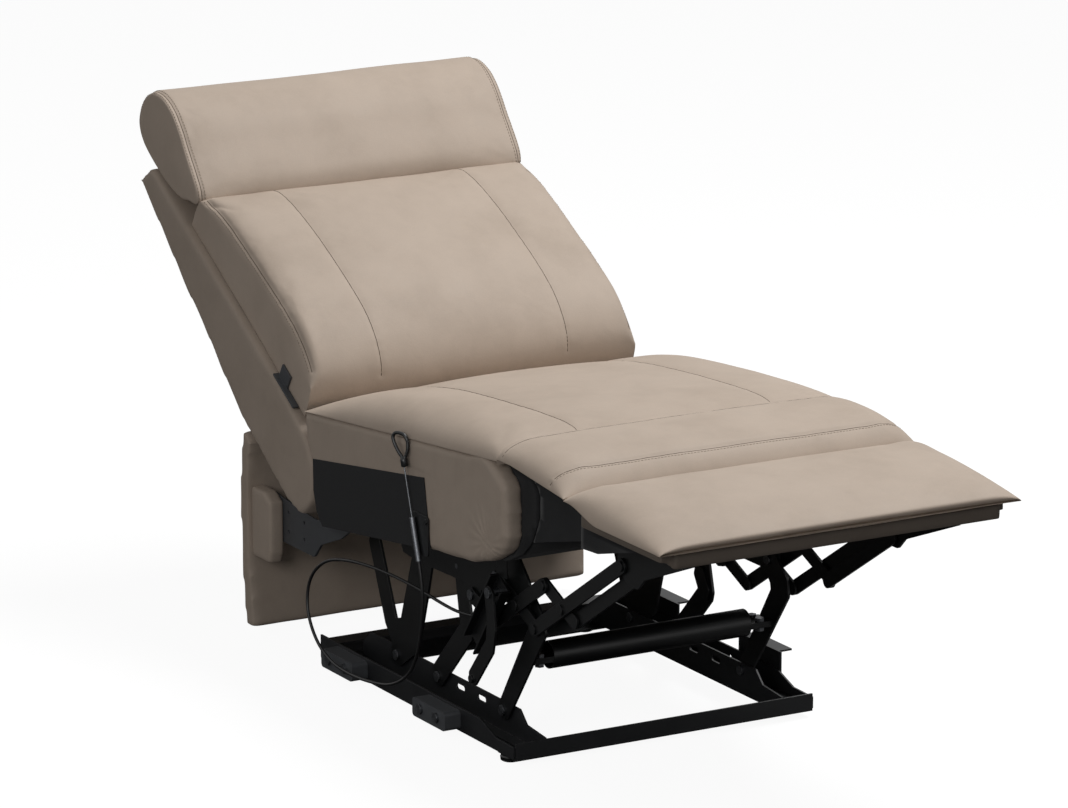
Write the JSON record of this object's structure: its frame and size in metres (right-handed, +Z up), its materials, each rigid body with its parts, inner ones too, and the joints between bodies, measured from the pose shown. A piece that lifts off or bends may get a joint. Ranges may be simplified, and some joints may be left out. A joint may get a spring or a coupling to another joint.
{
  "type": "recliner chair",
  "caption": "Armless manual recliner seat shown fully open, taupe leather-look cushions over a black steel linkage with a pull-ring release",
  "frame": {"origin": "bottom centre of the bounding box, the floor under the middle of the open chair", "axes": "+X to the sitter's left, +Y to the rear, +Z up"},
  "size_m": [0.6145, 1.6367, 0.8248],
  "materials": {
    "upholstery": "matte brushed leather look with soft blotches",
    "black_cloth": "plain black non-woven cloth",
    "rail_steel": "black powder coat, semi-gloss",
    "linkage_steel": "black electrocoat, semi-gloss",
    "grey_steel": "grey painted steel",
    "zinc_steel": "dark zinc plate",
    "black_plastic": "moulded, matte",
    "grey_plastic": "moulded, matte",
    "cable_vinyl": "extruded vinyl sheath",
    "frame_timber": "sawn plywood"
  },
  "bodies": {
    "base_frame": {"outer_rail_left": "rail_steel", "outer_rail_right": "rail_steel", "inner_rail_left": "rail_steel", "inner_rail_right": "rail_steel", "front_cross_rail": "rail_steel", "rear_cross_rail": "rail_steel", "floor_glides": "black_plastic", "side_connectors": "grey_plastic", "side_receivers": "rail_steel", "rail_bolts": "zinc_steel", "base_pivots": "zinc_steel"},
    "front_swing": {"front_links": "linkage_steel", "torque_tube": "linkage_steel", "torque_tube_bolts": "zinc_steel"},
    "middle_swing": {"middle_links": "linkage_steel", "sequencer_cams": "linkage_steel"},
    "rear_swing": {"rear_cranks": "linkage_steel", "crank_pins": "zinc_steel"},
    "recline_rod": {"recline_rods": "linkage_steel"},
    "seat_frame": {"seat_plate_left": "linkage_steel", "seat_plate_right": "linkage_steel", "seat_pivots": "zinc_steel", "seat_cross_tubes": "linkage_steel", "seat_rails": "frame_timber", "seat_side_left": "upholstery", "seat_side_right": "upholstery", "seat_rear_board": "frame_timber", "front_roll": "upholstery", "seat_deck": "frame_timber", "seat_cushion": "upholstery", "knee_pad": "upholstery", "dust_cloth": "black_cloth", "side_cover_left": "black_cloth", "side_cover_right": "black_cloth", "panel_brackets": "grey_steel", "panel_blocks": "upholstery", "rear_panel": "upholstery", "cable_guide": "linkage_steel", "cable_sheath": "cable_vinyl", "cable_end_fitting": "zinc_steel", "latch_channel": "linkage_steel", "latch_stud": "zinc_steel"},
    "back": {"back_frame": "upholstery", "back_brackets": "grey_steel", "back_hinge_arms": "linkage_steel", "back_cushion": "upholstery", "headrest": "upholstery"},
    "long_arms": {"footrest_long_arms": "linkage_steel"},
    "short_arms": {"footrest_short_arms": "linkage_steel"},
    "shin_bars": {"footrest_shin_bars": "linkage_steel"},
    "thigh_bars": {"footrest_thigh_bars": "linkage_steel"},
    "inner_arms": {"footrest_inner_arms": "linkage_steel"},
    "end_bars": {"footrest_end_bars": "linkage_steel"},
    "footrest": {"footrest_board": "upholstery", "footrest_strip": "upholstery", "footrest_pad": "upholstery", "footrest_brackets": "linkage_steel"},
    "latch": {"latch_lever": "linkage_steel"},
    "release": {"pull_ring": "black_plastic", "pull_wire": "zinc_steel"}
  },
  "joints": [
    {"name": "back_recline", "type": "hinge", "parent": "seat_frame", "child": "back", "pos_m": [0, 0.21, 0.405], "axis": [1, 0, 0], "range_deg": [0, 45]},
    {"name": "front_link_swing", "type": "hinge", "parent": "base_frame", "child": "front_swing", "pos_m": [0, -0.219, 0.05], "axis": [-1, 0, 0], "range_deg": [0, 40]},
    {"name": "middle_link_swing", "type": "hinge", "parent": "base_frame", "child": "middle_swing", "pos_m": [0, -0.02, 0.05], "axis": [-1, 0, 0], "range_deg": [0, 40]},
    {"name": "rear_crank_swing", "type": "hinge", "parent": "base_frame", "child": "rear_swing", "pos_m": [0, 0.11, 0.05], "axis": [-1, 0, 0], "range_deg": [0, 40]},
    {"name": "seat_glide", "type": "hinge", "parent": "rear_swing", "child": "seat_frame", "pos_m": [0, 0.042, 0.24], "axis": [1, 0, 0], "range_deg": [0, 40]},
    {"name": "recline_rod_swing", "type": "hinge", "parent": "rear_swing", "child": "recline_rod", "pos_m": [0, 0.008, 0.29], "axis": [1, 0, 0], "range_deg": [0, 43.5]},
    {"name": "footrest_fold", "type": "hinge", "parent": "seat_frame", "child": "footrest", "pos_m": [0, -0.467, 0.415], "axis": [1, 0, 0], "range_deg": [0, 85.5], "deforming": ["knee_pad", "dust_cloth"]},
    {"name": "long_arm_swing", "type": "hinge", "parent": "seat_frame", "child": "long_arms", "pos_m": [0, -0.218, 0.258], "axis": [1, 0, 0], "range_deg": [0, 85.5]},
    {"name": "short_arm_swing", "type": "hinge", "parent": "seat_frame", "child": "short_arms", "pos_m": [0, -0.142, 0.21], "axis": [1, 0, 0], "range_deg": [0, 85.5]},
    {"name": "shin_bar_swing", "type": "hinge", "parent": "long_arms", "child": "shin_bars", "pos_m": [0, -0.284, 0.23], "axis": [-1, 0, 0], "range_deg": [0, 85.5]},
    {"name": "thigh_bar_swing", "type": "hinge", "parent": "long_arms", "child": "thigh_bars", "pos_m": [0, -0.338, 0.207], "axis": [-1, 0, 0], "range_deg": [0, 85.5]},
    {"name": "inner_arm_swing", "type": "hinge", "parent": "shin_bars", "child": "inner_arms", "pos_m": [0, -0.363, 0.2795], "axis": [1, 0, 0], "range_deg": [0, 85.5]},
    {"name": "end_bar_swing", "type": "hinge", "parent": "inner_arms", "child": "end_bars", "pos_m": [0, -0.444, 0.245], "axis": [-1, 0, 0], "range_deg": [0, 85.5]},
    {"name": "release_pull", "type": "slide", "parent": "seat_frame", "child": "release", "axis": [0, 0.309, 0.9511], "range_m": [0, 0.035], "stiffness_N_per_m": 250},
    {"name": "latch_swing", "type": "hinge", "parent": "seat_frame", "child": "latch", "pos_m": [-0.25, -0.25, 0.244], "axis": [1, 0, 0], "range_deg": [0, 12]}
  ],
  "couplings": [
    {"joint": "front_link_swing", "follows": "back_recline", "ratio": 0.8888},
    {"joint": "middle_link_swing", "follows": "back_recline", "ratio": 0.8888},
    {"joint": "rear_crank_swing", "follows": "back_recline", "ratio": 0.8888},
    {"joint": "seat_glide", "follows": "back_recline", "ratio": 0.8888},
    {"joint": "recline_rod_swing", "follows": "back_recline", "ratio": 0.9644},
    {"joint": "long_arm_swing", "follows": "footrest_fold", "ratio": 1},
    {"joint": "short_arm_swing", "follows": "footrest_fold", "ratio": 1},
    {"joint": "shin_bar_swing", "follows": "footrest_fold", "ratio": 1},
    {"joint": "thigh_bar_swing", "follows": "footrest_fold", "ratio": 1},
    {"joint": "inner_arm_swing", "follows": "footrest_fold", "ratio": 1},
    {"joint": "end_bar_swing", "follows": "footrest_fold", "ratio": 1},
    {"joint": "latch_swing", "follows": "release_pull", "rad_per_m": 5.98}
  ]
}
